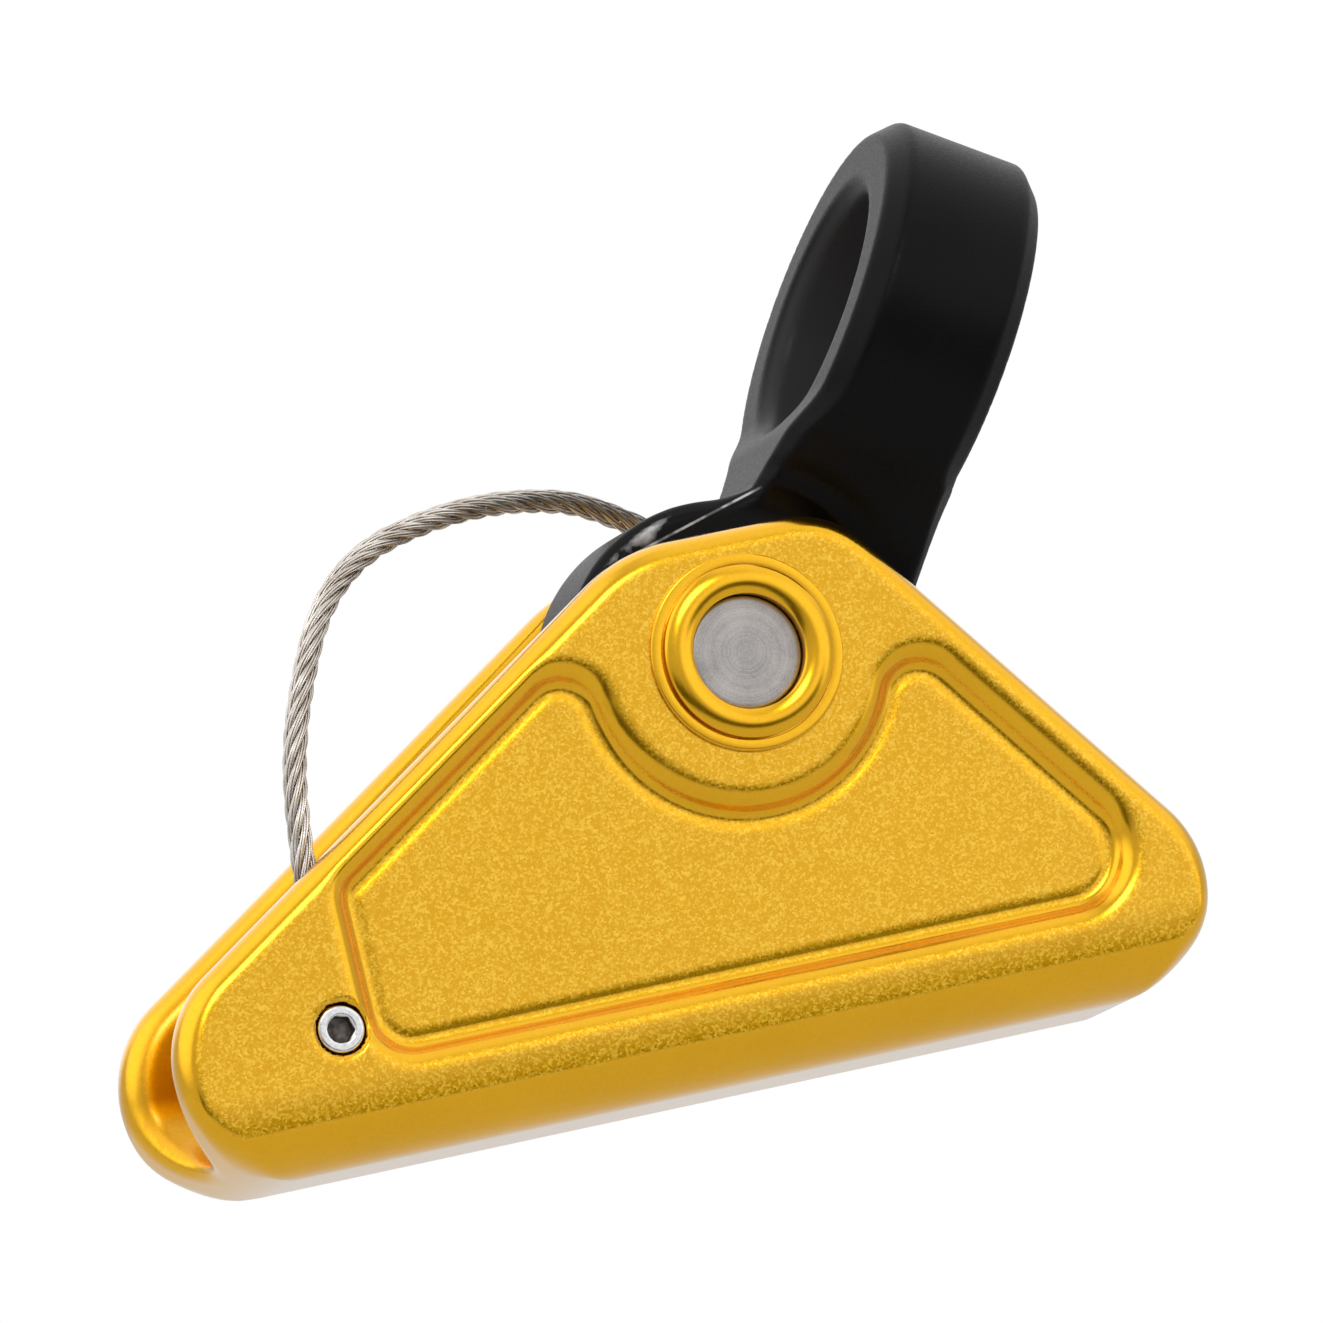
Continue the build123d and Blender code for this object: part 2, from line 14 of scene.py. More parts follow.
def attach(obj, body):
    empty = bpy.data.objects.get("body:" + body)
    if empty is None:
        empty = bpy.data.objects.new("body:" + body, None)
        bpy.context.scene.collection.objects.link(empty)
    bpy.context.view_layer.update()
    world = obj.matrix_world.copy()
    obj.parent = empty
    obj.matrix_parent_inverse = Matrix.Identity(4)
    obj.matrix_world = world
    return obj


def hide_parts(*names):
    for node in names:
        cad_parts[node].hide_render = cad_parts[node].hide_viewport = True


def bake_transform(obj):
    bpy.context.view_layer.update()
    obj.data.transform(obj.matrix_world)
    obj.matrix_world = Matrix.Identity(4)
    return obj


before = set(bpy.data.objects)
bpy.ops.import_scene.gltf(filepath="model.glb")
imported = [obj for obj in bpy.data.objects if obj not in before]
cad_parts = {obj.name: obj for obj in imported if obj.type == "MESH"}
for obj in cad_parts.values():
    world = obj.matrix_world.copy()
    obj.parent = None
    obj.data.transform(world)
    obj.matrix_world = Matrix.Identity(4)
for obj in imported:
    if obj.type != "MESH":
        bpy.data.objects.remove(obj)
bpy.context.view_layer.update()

MM = 0.001

# ---------------------------------------------------------------- driving dimensions, as in the CAD model
PIVOT_Z = 28.5
CHANNEL_R = 7.5
HALF_T = 12.85
BASE_Z = -11.6
TOP_Z = 40.8
LEFT_EDGE = (-23.75, 31.6, 0.634)  # a point of the long upper edge and its slope
RIGHT_EDGE = (20.04, 30.12, -1.324)
PIN_R = 5.555
BORE_R = 5.6
LIP_Y = 14.35
BALL_Y = -9.6
CAM_HALF = 7.2
ARM_TILT = 31.15
RING_CENTRE_U = 37.9
RING_FACE_A, RING_T = -0.8, 16.1
RING_OUT_R, RING_BORE_R = 20.0, 12.1
NECK_R = 15.0
SCREW_X, SCREW_Z = -48.05, 1.15
TETHER_ROUTE = [
    (-46.96, -7.9, 13.8),
    (-46.3, -7.9, 21.5),
    (-44.6, -6.8, 28.9),
    (-41.4, -5.3, 36.05),
    (-37.5, -3.3, 42.35),
    (-31.65, -0.6, 46.75),
    (-24.55, 2.2, 48.7),
    (-17.4, 5.3, 49.6),
    (-10.4, 8.9, 49.45),
    (-3.7, 12.5, 48.2),
    (2.3, 15.05, 44.65),
]


# ---------------------------------------------------------------- distance functions
def round_max(a, b, r):
    """The intersection of two solids, with the edge between them rounded to r."""
    corner = np.hypot(np.maximum(a + r, 0), np.maximum(b + r, 0))
    return np.minimum(np.maximum(a, b), -r) + corner


def round_min(a, b, r):
    return -round_max(-a, -b, r)


def smooth_step(low, high, value):
    t = np.clip((value - low) / (high - low), 0, 1)
    return t * t * (3 - 2 * t)


class Polygon:
    """A convex outline in X and Z, anticlockwise, with a rounding radius at each corner."""

    def __init__(self, corners, radii):
        self.lines, self.rounds = [], []
        count = len(corners)
        for i, (x, z) in enumerate(corners):
            to_x, to_z = corners[(i + 1) % count]
            run = hypot(to_x - x, to_z - z)
            normal = ((to_z - z) / run, -(to_x - x) / run)
            self.lines.append((normal, normal[0] * x + normal[1] * z))
        for i, radius in enumerate(radii):
            (n0, h0), (n1, h1) = self.lines[i - 1], self.lines[i]
            cross = n0[0] * n1[1] - n0[1] * n1[0]
            d0, d1 = h0 - radius, h1 - radius
            centre = ((d0 * n1[1] - d1 * n0[1]) / cross, (n0[0] * d1 - n1[0] * d0) / cross)
            self.rounds.append((centre, radius, n0, n1))

    def __call__(self, x, z):
        d = np.maximum.reduce([n[0] * x + n[1] * z - h for n, h in self.lines])
        for centre, radius, n0, n1 in self.rounds:
            d = in_wedge(d, x, z, centre, radius, n0, n1)
        return d


def in_wedge(d, x, z, centre, radius, n0, n1):
    """Replaces d by the distance to a circle, between the directions n0 and n1 from its centre."""
    vx, vz = x - centre[0], z - centre[1]
    inside = (n0[0] * vz - n0[1] * vx >= 0) & (vx * n1[1] - vz * n1[0] >= 0)
    return np.where(inside, np.hypot(vx, vz) - radius, d)


def edge_x(edge, z, inset=0.0):
    """Where a sloping edge, moved inwards by inset, is at height z."""
    x0, z0, slope = edge
    return x0 + (z + inset * sqrt(1 + slope**2) - z0) / slope


OUTLINE = Polygon(
    [
        (edge_x(LEFT_EDGE, BASE_Z), BASE_Z),
        (edge_x(RIGHT_EDGE, BASE_Z), BASE_Z),
        (edge_x(RIGHT_EDGE, TOP_Z), TOP_Z),
        (edge_x(LEFT_EDGE, TOP_Z), TOP_Z),
    ],
    [11.15, 10.7, 9.5, 17.0],
)

POCKET_LEFT_X, POCKET_LOW_Z = -44.35, -1.9
POCKET_HUB_X, POCKET_HUB_R, LOBE_R = -0.6, 15.3, 3.5
POCKET_INSETS = (3.7, 5.0)


def pocket_field():
    """The recess of a plate: a rounded triangle with the hub's circle cut out of its top."""
    left, right = POCKET_INSETS
    apex_z = 34.0
    edge_left_x, edge_left_z, slope = LEFT_EDGE
    left_at = edge_left_z - left * hypot(1, slope) + slope * (POCKET_LEFT_X - edge_left_x)
    triangle = Polygon(
        [
            (POCKET_LEFT_X, POCKET_LOW_Z),
            (edge_x(RIGHT_EDGE, POCKET_LOW_Z, right), POCKET_LOW_Z),
            (edge_x(RIGHT_EDGE, apex_z, right), apex_z),
            (edge_x(LEFT_EDGE, apex_z, left), apex_z),
            (POCKET_LEFT_X, left_at),
        ],
        [4.0, 5.5, 0.5, 0.5, 2.5],
    )
    lobes = []
    reach = POCKET_HUB_R + LOBE_R
    for (normal, height), side in ((triangle.lines[1], 1), (triangle.lines[3], -1)):
        along = (-normal[1] * side, normal[0] * side)
        over = height - LOBE_R - normal[0] * POCKET_HUB_X - normal[1] * PIVOT_Z
        run = sqrt(reach**2 - over**2)
        to_centre = (normal[0] * over - along[0] * run, normal[1] * over - along[1] * run)
        centre = (POCKET_HUB_X + to_centre[0], PIVOT_Z + to_centre[1])
        to_hub = (-to_centre[0] / reach, -to_centre[1] / reach)
        lobes.append((centre, normal, to_hub) if side > 0 else (centre, to_hub, normal))

    def field(x, z):
        d = np.maximum(triangle(x, z), POCKET_HUB_R - np.hypot(x - POCKET_HUB_X, z - PIVOT_Z))
        for centre, n0, n1 in lobes:
            d = in_wedge(d, x, z, centre, LOBE_R, n0, n1)
        return d

    return field


POCKET = pocket_field()
POCKET_DEPTH = 1.75
GROOVE_R, GROOVE_DEEPER = 1.3, 0.15  # the ball-nosed cut that runs along the foot of the pocket's wall
WALL_SLOPE = radians(60)
WALL_AT = 0.35  # where the wall turns from convex to concave, outside the pocket's line


def pocket_drop(d):
    """How far the face is sunk at distance d from the pocket's line: rim arc, groove arc, flat floor."""
    depth = POCKET_DEPTH + GROOVE_DEEPER
    rim_r = depth / (1 - cos(WALL_SLOPE)) - GROOVE_R
    rim_from = rim_r * sin(WALL_SLOPE)
    groove_at = WALL_AT - GROOVE_R * sin(WALL_SLOPE)
    out = np.clip(WALL_AT + rim_from - d, 0, rim_from)
    rim = rim_r - np.sqrt(rim_r**2 - out**2)
    off = np.clip(np.abs(d - groove_at), 0, GROOVE_R * 0.999)
    groove = depth - GROOVE_R + np.sqrt(GROOVE_R**2 - off**2)
    inside = np.where(d > groove_at, groove, np.maximum(groove, POCKET_DEPTH))
    return np.where(d > WALL_AT, rim, inside)


def slab(value, low, high):
    """The distance to the layer between low and high."""
    return np.abs(value - (low + high) / 2) - (high - low) / 2


RIM_SIDE_R, RIM_BASE_R = 2.5, 7.4
SIDE_OVER, BASE_OVER = 0.055, 0.48  # how far the rims' arcs would stand over the face
END_ARCS = (-53.7, 29.7)  # x where the base's end arcs begin
BASE_CREASE_Z = -6.75
CHANNEL_MOUTH_R = 2.6
FACE_FALL = 3.4  # above the crease along the base, where the face begins to lean back


def shell_field(x, y, z):
    side = np.abs(y)
    around = np.hypot(x, z - PIVOT_Z)
    wall = OUTLINE(x, z)
    lean = 0.014 * np.clip(BASE_CREASE_Z + FACE_FALL - z, 0, FACE_FALL + 1) ** 2
    face = side - HALF_T + np.maximum(pocket_drop(POCKET(x, z)), lean)
    over = SIDE_OVER + (BASE_OVER - SIDE_OVER) * smooth_step(4.0, -9.0, z)
    base = round_max(side - HALF_T - over, BASE_Z - z, RIM_BASE_R)
    reach = np.maximum(END_ARCS[0] - x, x - END_ARCS[1])
    rim = RIM_SIDE_R * np.maximum(smooth_step(BASE_Z + 6, BASE_Z + 11, z), smooth_step(2.0, 8.0, reach))
    body = np.maximum(round_max(wall, base, rim + 1e-6), face)
    channel = np.where(z > 0, side, np.hypot(y, z)) - CHANNEL_R
    body = np.maximum(body, round_max(wall, -channel, CHANNEL_MOUTH_R))
    body = round_max(body, BORE_R - around, 0.35)
    body = np.maximum(body, -np.maximum(around - 6.505, np.abs(y - BALL_Y) - 1.4))
    leg_hole = np.maximum(np.hypot(x - 8.5, z - PIVOT_Z + 0.9) - 0.75, np.abs(y - 8.0) - 1.25)
    body = np.maximum(body, -leg_hole)
    screw = np.hypot(x - SCREW_X, z - SCREW_Z)
    body = round_max(body, -np.maximum(screw - 2.575, y + 10.95), 0.15)
    body = np.maximum(body, -np.maximum(screw - 1.5, y))
    return np.maximum(body, -anchor_recess(x, y, z))


LEAN = atan2(TETHER_ROUTE[0][0] - SCREW_X, TETHER_ROUTE[0][2] - SCREW_Z)


def anchor_recess(x, y, z):
    """The seat of the tether's terminal in the front plate's inner face."""
    along = (x - SCREW_X) * sin(LEAN) + (z - SCREW_Z) * cos(LEAN)
    across = (x - SCREW_X) * cos(LEAN) - (z - SCREW_Z) * sin(LEAN)
    tang = np.maximum(np.maximum(np.abs(across) - 2.88, -2.88 - along), np.abs(y + 7.4) - 1.88)
    barrel = np.maximum(np.hypot(across, y + 7.9) - 2.2, 5.8 - along)
    return np.minimum(tang, barrel)


# ---------------------------------------------------------------- meshing
def surface_nets(field, low, high, step):
    """Quads on the zero surface of field(x, y, z): one vertex in each cell that the surface crosses."""
    axes = [np.arange(a - 2 * step, b + 3 * step, step) for a, b in zip(low, high)]
    values = field(axes[0][:, None, None], axes[1][None, :, None], axes[2][None, None, :])
    values = np.broadcast_to(values, [len(a) for a in axes]).astype(np.float32)
    inside = values < 0
    cells = np.zeros([n - 1 for n in values.shape], np.int32)
    total = np.zeros((*cells.shape, 3), np.float32)
    quads = []
    for axis in range(3):
        ends = [slice(None)] * 3
        ends[axis] = slice(1, None)
        starts = [slice(None)] * 3
        starts[axis] = slice(None, -1)
        cross = np.argwhere(inside[tuple(starts)] != inside[tuple(ends)])
        v0 = values[tuple(cross.T)]
        beyond = cross.copy()
        beyond[:, axis] += 1
        v1 = values[tuple(beyond.T)]
        point = cross.astype(np.float32)
        point[:, axis] += v0 / (v0 - v1)
        others = [i for i in range(3) if i != axis]
        ring = []
        for da, db in ((0, 0), (1, 0), (1, 1), (0, 1)):
            cell = cross.copy()
            cell[:, others[0]] -= da
            cell[:, others[1]] -= db
            ring.append(cell)
            np.add.at(cells, tuple(cell.T), 1)
            np.add.at(total, tuple(cell.T), point)
        quads.append((ring, (v0 < 0) == (axis != 1)))
    used = cells > 0
    number = np.full(cells.shape, -1, np.int64)
    number[used] = np.arange(used.sum())
    points = total[used] / cells[used][:, None]
    faces = []
    for ring, forward in quads:
        index = np.stack([number[tuple(cell.T)] for cell in ring], axis=1)
        faces.append(np.where(forward[:, None], index, index[:, ::-1]))
    origin = np.array([a[0] for a in axes])
    points = origin + points.astype(float) * step
    return onto_surface(field, points, step), np.concatenate(faces)


def gradient(field, p, e=0.02):
    columns = []
    for axis in range(3):
        shift = np.zeros(3)
        shift[axis] = e
        columns.append(field(*(p + shift).T) - field(*(p - shift).T))
    return np.stack(columns, axis=1) / (2 * e)


def onto_surface(field, points, step):
    """Two Newton steps, each at most half a cell long."""
    for _ in range(2):
        slope = gradient(field, points)
        size = np.maximum((slope**2).sum(axis=1), 0.05)
        move = -(field(*points.T) / size)[:, None] * slope
        length = np.linalg.norm(move, axis=1, keepdims=True)
        points = points + move * np.minimum(1, 0.5 * step / np.maximum(length, 1e-9))
    return points


def mesh_object(name, points, faces, smooth=True):
    mesh = bpy.data.meshes.new(name)
    mesh.from_pydata((np.asarray(points) * MM).tolist(), [], np.asarray(faces).tolist())
    if smooth:
        mesh.shade_smooth()
    mesh.validate()
    obj = bpy.data.objects.new(name, mesh)
    bpy.context.scene.collection.objects.link(obj)
    return obj


def new_mesh_attribute(obj, name, values):
    attribute = obj.data.attributes.new(name, "FLOAT", "POINT")
    attribute.data.foreach_set("value", np.asarray(values, np.float32))


# ---------------------------------------------------------------- shell
def build_shell(step):
    low, high = (-66.5, -HALF_T - 0.6, BASE_Z - 0.6), (42.5, HALF_T + 0.6, TOP_Z + 1)
    points, faces = surface_nets(shell_field, low, high, step)
    obj = mesh_object("shell_body", points, faces)
    slope = gradient(shell_field, points)
    facing = np.abs(slope[:, 1]) / np.linalg.norm(slope, axis=1)
    side = np.abs(points[:, 1])
    wall = OUTLINE(points[:, 0], points[:, 2])
    outside = (side > CHANNEL_R + 0.3) | (wall > -1.5)
    new_mesh_attribute(obj, "polish", smooth_step(0.995, 0.95, facing) * outside)
    # The inner attribute marks the channel's inner walls, where the gold material paints shade as a deeper
    # orange.
    inner = smooth_step(CHANNEL_R + 0.6, CHANNEL_R + 0.1, side) * (wall < -1.0)
    new_mesh_attribute(obj, "inner", inner)
    return obj


# ---------------------------------------------------------------- cam
def chamfer_max(a, b, leg, soften=0.25):
    return round_max(np.maximum(a, b), (a + b + leg) / sqrt(2), soften)


def polygon_distance(corners):
    """The signed distance to any closed polygon, negative inside."""
    corners = np.array(corners, float)

    def field(x, z):
        best = None
        crossings = 0
        for (ax, az), (bx, bz) in zip(corners, np.roll(corners, -1, axis=0)):
            ex, ez = bx - ax, bz - az
            wx, wz = x - ax, z - az
            t = np.clip((wx * ex + wz * ez) / (ex * ex + ez * ez), 0, 1)
            d = (wx - t * ex) ** 2 + (wz - t * ez) ** 2
            best = d if best is None else np.minimum(best, d)
            spans = (az > z) != (bz > z)
            crossings = crossings + (spans & (wx < wz * ex / (ez if ez else 1e-12)))
        return np.where(crossings % 2 == 1, -1.0, 1.0) * np.sqrt(best)

    return field


TILT_S, TILT_C = sin(radians(ARM_TILT)), cos(radians(ARM_TILT))
JAW_R, JAW_FALL, JAW_SWEEP, JAW_RIDGE, JAW_PITCH = 29.0, 0.19, 48, 0.45, 6
HUB_R, RELIEF_R, RELIEF_FILLET = 16.0, 18.8, 4.0
CROTCH_R = 6.0


def arm_point(u, a):
    """A point in X and Z from its place along (u) and across (a) the arm."""
    return (u * TILT_S + a * TILT_C, PIVOT_Z + u * TILT_C - a * TILT_S)


def jaw_point(turn, rise=0.0):
    radius = JAW_R - JAW_FALL * turn + rise
    angle = radians(-90 - turn)
    return (radius * cos(angle), PIVOT_Z + radius * sin(angle))


def cam_profile():
    teeth = []
    for turn in range(0, JAW_SWEEP, JAW_PITCH):
        teeth += [jaw_point(turn), jaw_point(turn + JAW_PITCH / 2, -JAW_RIDGE)]
    right = RING_FACE_A + RING_T
    heel = radians(140)
    path = [
        (0, PIVOT_Z + 8),
        arm_point(22, RING_FACE_A + 1.0),
        arm_point(22, right - 1.0),
        arm_point(9.5, right - 0.6),
        (15.0, PIVOT_Z - 9.0),
        (5.0, PIVOT_Z - JAW_R + 1.2),
        *teeth,
        jaw_point(JAW_SWEEP),
        (HUB_R * cos(heel), PIVOT_Z + HUB_R * sin(heel)),
    ]
    return polygon_distance(path)


CAM_OUTLINE = cam_profile()
FLANK_X = -sqrt((RING_OUT_R + NECK_R) ** 2 - (CAM_HALF + NECK_R) ** 2)
FLANK_Y = CAM_HALF + NECK_R


def cam_plan(x, z):
    """The cam seen along Y: hub, jaw and arm, with a wide curve in the crotch at the arm's left."""
    u = x * TILT_S + (z - PIVOT_Z) * TILT_C
    a = x * TILT_C - (z - PIVOT_Z) * TILT_S - RING_FACE_A - RING_T / 2
    arm = np.maximum(np.abs(a) - RING_T / 2, 8.0 - u)
    hub = np.minimum(CAM_OUTLINE(x, z), np.hypot(x, z - PIVOT_Z) - HUB_R)
    return round_min(arm, hub, CROTCH_R + (2.5 - CROTCH_R) * smooth_step(-3.0, 1.0, a))


def cam_field(x, y, z):
    side = np.abs(y)
    around = np.hypot(x, z - PIVOT_Z)
    u = x * TILT_S + (z - PIVOT_Z) * TILT_C
    v = u - RING_CENTRE_U
    radius = np.hypot(v, y)
    keyhole = np.minimum(radius - RING_OUT_R, np.maximum(side - CAM_HALF, v))
    fx, fy = v - FLANK_X, side - FLANK_Y
    flank = (fx >= 0) & (-fx * FLANK_Y + fy * FLANK_X >= 0)
    keyhole = np.where(flank, NECK_R - np.hypot(fx, fy), keyhole)
    relief = round_min(RELIEF_R - around, side - CAM_HALF, RELIEF_FILLET)
    flare = round_max(keyhole, relief, 2.5 * smooth_step(RELIEF_R - 1.5, RELIEF_R + 1.0, around) + 1e-6)
    leg = 1.2 + 0.8 * smooth_step(15.0, 23.0, u)
    body = chamfer_max(cam_plan(x, z), flare, leg)
    body = round_max(body, RING_BORE_R - radius, 2.0)
    body = round_max(body, 7.0 - around, 0.3)
    body = np.maximum(body, -np.maximum(around - 9.8, 6.7 - side))
    spring = np.maximum(np.abs(around - 8.5) - 0.7, 1.8 - y)
    return np.maximum(body, -spring)


WORN_SPOTS = [(-11.0, -7.2, 37.5, 7.0), (-4.5, -7.2, 42.5, 6.0)]  # x, y, z and reach of the rubbed edges


def build_cam(step):
    low, high = (-26.0, -20.2, -2.0), (44.0, 20.2, 79.0)
    points, faces = surface_nets(cam_field, low, high, step)
    obj = mesh_object("cam_body", points, faces)
    x, y, z = points.T
    wear = np.zeros(len(points))
    for spot_x, spot_y, spot_z, reach in WORN_SPOTS:
        near = np.sqrt((x - spot_x) ** 2 + (y - spot_y) ** 2 + (z - spot_z) ** 2)
        wear = np.maximum(wear, smooth_step(reach, 0.5 * reach, near))
    ridge = np.abs(np.abs(y) - CAM_HALF) + np.maximum(0, np.abs(cam_plan(x, z) + 1.3) - 0.35)
    new_mesh_attribute(obj, "wear", wear * smooth_step(0.7, 0.2, ridge))
    eye = np.hypot(x * TILT_S + (z - PIVOT_Z) * TILT_C - RING_CENTRE_U, y)
    arm = x * TILT_C - (z - PIVOT_Z) * TILT_S - RING_FACE_A
    # The bore attribute marks the eye's bore, where the black material paints a lighter sheen.
    new_mesh_attribute(obj, "bore", smooth_step(RING_BORE_R + 1.2, RING_BORE_R + 0.3, eye) * (arm > 0.2))
    return obj


# ---------------------------------------------------------------- anchor screw
HEX_HALF, HEX_DEPTH = 1.19, 1.35
SCREW_TOP, SCREW_SEAT, SCREW_END = -12.55, -10.95, -7.6
SCREW_HEAD_R, SCREW_SHANK_R = 2.325, 1.42


def screw_field(x, y, z):
    """A socket-head screw: the head's rim is rounded, and the socket has a bevelled mouth."""
    radius = np.hypot(x - SCREW_X, z - SCREW_Z)
    head = round_max(radius - SCREW_HEAD_R, slab(y, SCREW_TOP, SCREW_SEAT), 0.28)
    shank = np.maximum(radius - SCREW_SHANK_R, slab(y, SCREW_SEAT - 0.2, SCREW_END))
    turns = [radians(60 * k + 17) for k in range(6)]
    socket = np.maximum.reduce([(x - SCREW_X) * cos(t) + (z - SCREW_Z) * sin(t) - HEX_HALF for t in turns])
    socket = np.maximum(socket, y - SCREW_TOP - HEX_DEPTH)
    mouth = radius - HEX_HALF - 0.25 + (y - SCREW_TOP)
    return np.maximum(np.minimum(head, shank), -np.minimum(socket, mouth))


def build_screw():
    low = (SCREW_X - 2.4, SCREW_TOP - 0.1, SCREW_Z - 2.4)
    high = (SCREW_X + 2.4, SCREW_END + 0.1, SCREW_Z + 2.4)
    points, faces = surface_nets(screw_field, low, high, 0.09)
    obj = mesh_object("anchor_screw_head", points, faces)
    radius = np.hypot(points[:, 0] - SCREW_X, points[:, 2] - SCREW_Z)
    # The socket attribute marks the hex socket, which the screw's material paints with shade.
    socket = smooth_step(1.55, 1.30, radius) * smooth_step(0.15, 0.5, points[:, 1] - SCREW_TOP)
    new_mesh_attribute(obj, "socket", socket)
    return obj


# ---------------------------------------------------------------- turned pieces
def lathe(name, profile, segments=128, centre=(0.0, PIVOT_Z), closed=True, sharp=28):
    """A turned piece about an axis parallel to Y, from (radius, y) points in millimetres."""
    angles = np.linspace(0, 2 * pi, segments, endpoint=False)
    points = [(centre[0] + r * cos(t), y, centre[1] + r * sin(t)) for r, y in profile for t in angles]
    rows = len(profile)
    faces = []
    for i in range(rows if closed else rows - 1):
        j = (i + 1) % rows
        for k in range(segments):
            m = (k + 1) % segments
            faces.append((i * segments + k, i * segments + m, j * segments + m, j * segments + k))
    obj = mesh_object(name, points, faces, smooth=False)
    obj.data.shade_smooth()
    merge_and_face_out(obj)
    obj.data.set_sharp_from_angle(angle=radians(sharp))
    return obj


def merge_and_face_out(obj, distance=1e-6):
    mesh = bmesh.new()
    mesh.from_mesh(obj.data)
    bmesh.ops.remove_doubles(mesh, verts=mesh.verts, dist=distance)
    bmesh.ops.recalc_face_normals(mesh, faces=mesh.faces)
    mesh.to_mesh(obj.data)
    mesh.free()


def rounded(profile, radii, steps=5):
    """Rounds the corners of a closed profile: radii holds one radius a corner, 0 for a sharp one."""
    out = []
    for i, (corner, radius) in enumerate(zip(profile, radii)):
        p = Vector(corner)
        if radius <= 0:
            out.append(tuple(p))
            continue
        before = (Vector(profile[i - 1]) - p).normalized()
        after = (Vector(profile[(i + 1) % len(profile)]) - p).normalized()
        half = before.angle(after) / 2
        cut = radius / tan(half)
        centre = p + (before + after).normalized() * (radius / sin(half))
        start, end = p + before * cut - centre, p + after * cut - centre
        turn = start.angle_signed(end)
        for k in range(steps + 1):
            spin = Matrix.Rotation(-turn * k / steps, 2)
            out.append(tuple(centre + spin @ start))
    return out


LIP_CREST_R, LIP_DOME_R, DOME_POINTS = 6.95, 2.8, 17


def lip_dome():
    """The front lip's low round top, from its bore to its outer wall."""
    radii = np.linspace(5.75, 8.25, DOME_POINTS)
    return [(r, -LIP_Y + LIP_DOME_R - sqrt(LIP_DOME_R**2 - (r - LIP_CREST_R) ** 2)) for r in radii]


FRONT_BOSS = rounded(
    [
        (5.62, -11.5),
        (5.62, -13.98),
        *lip_dome(),
        (8.42, -13.9),
        (8.42, -13.0),
        (8.54, -13.0),
        (8.54, -13.32),
        (9.65, -13.32),
        (9.65, -11.5),
    ],
    [0, 0.05] + [0] * DOME_POINTS + [0.1, 0, 0, 0.08, 0.22, 0],
)
REAR_BOSS = rounded(
    [
        (5.62, 11.5),
        (5.62, 13.15),
        (8.1, 13.15),
        (8.1, LIP_Y),
        (8.8, LIP_Y),
        (8.8, 13.3),
        (9.65, 13.3),
        (9.65, 11.5),
    ],
    [0, 0, 0, 0.12, 0.3, 0, 0.22, 0],
)
HEAD = rounded(
    [
        (PIN_R, 15.75),
        (8.6, 15.75),
        (8.6, 17.35),
        (7.5, 18.35),
        (7.5, 20.35),
        (8.3, 21.35),
        (8.3, 22.75),
        (4.08, 22.75),
        (4.08, 21.65),
        (4.8, 21.65),
        (4.8, 18.4),
        (PIN_R, 18.4),
    ],
    [0, 0.4, 0.35, 0.6, 0.6, 0.35, 0.55, 0.15, 0, 0, 0, 0],
)
BUTTON = rounded(
    [(0, 20.65), (4.6, 20.65), (4.6, 21.6), (4.0, 21.6), (4.0, 25.1), (3.1, 25.1), (2.6, 24.9), (0, 24.85)],
    [0, 0.1, 0, 0, 0.55, 0.3, 0.3, 0],
)
PIN_LOW, PIN_HIGH, PIN_BORE_R, PIN_BORE_LOW = -12.9, 18.4, 3.9, -12.1


def shank_field(x, y, z):
    """The pin's tube: a blind bore, the snap ring's groove and two windows for the balls."""
    radius = np.hypot(x, z - PIVOT_Z)
    tube = round_max(radius - PIN_R, slab(y, PIN_LOW, PIN_HIGH), 0.35)
    bore = np.maximum(radius - PIN_BORE_R, PIN_BORE_LOW - y)
    groove = np.maximum(5.0 - radius, np.abs(y - 13.65) - 0.43)
    windows = np.hypot(x, y - BALL_Y) - 1.3
    return np.maximum(tube, -np.minimum(np.minimum(bore, groove), windows))


def crimp(t, places, depth=0.14, width=0.4):
    """The dents that a crimping tool leaves round a barrel."""
    return sum(depth * np.exp(-(((t - place) / width) ** 2)) for place in places)


BARREL_START = Vector(TETHER_ROUTE[-1])
BARREL_AXIS = (BARREL_START - Vector(TETHER_ROUTE[-2])).normalized()
BARREL_LENGTH, BARREL_R = 7.0, 2.2
EYELET_R, EYELET_Y, EYELET_HALF = 8.2, 15.05, 0.6


def eyelet_field(x, y, z):
    """A swivelling ring with a tab, and the barrel crimped on the tether's end."""
    around = np.hypot(x, z - PIVOT_Z)
    thick = np.abs(y - EYELET_Y) - EYELET_HALF
    middle = BARREL_START + BARREL_AXIS * (BARREL_LENGTH / 2)
    lean = atan2(middle.x, middle.z - PIVOT_Z)
    along = x * sin(lean) + (z - PIVOT_Z) * cos(lean)
    across = np.abs(x * cos(lean) - (z - PIVOT_Z) * sin(lean))
    tab = np.maximum(across - 3.0, np.maximum(-along, along - hypot(middle.x, middle.z - PIVOT_Z)))
    plate = round_max(round_min(around - EYELET_R, tab, 2.0), thick, 0.2)
    dx, dy, dz = x - BARREL_START.x, y - BARREL_START.y, z - BARREL_START.z
    t = dx * BARREL_AXIS.x + dy * BARREL_AXIS.y + dz * BARREL_AXIS.z
    off = np.sqrt(np.maximum(dx**2 + dy**2 + dz**2 - t**2, 0))
    barrel = round_max(off - BARREL_R + crimp(t, (1.9, 3.5, 5.1)), slab(t, 0, BARREL_LENGTH), 0.4)
    body = round_min(plate, barrel, 0.4)
    body = np.maximum(body, 5.655 - around)
    return np.maximum(body, -np.maximum(around - 8.9, 15.73 - y))


TERMINAL_END = hypot(TETHER_ROUTE[0][0] - SCREW_X, TETHER_ROUTE[0][2] - SCREW_Z)


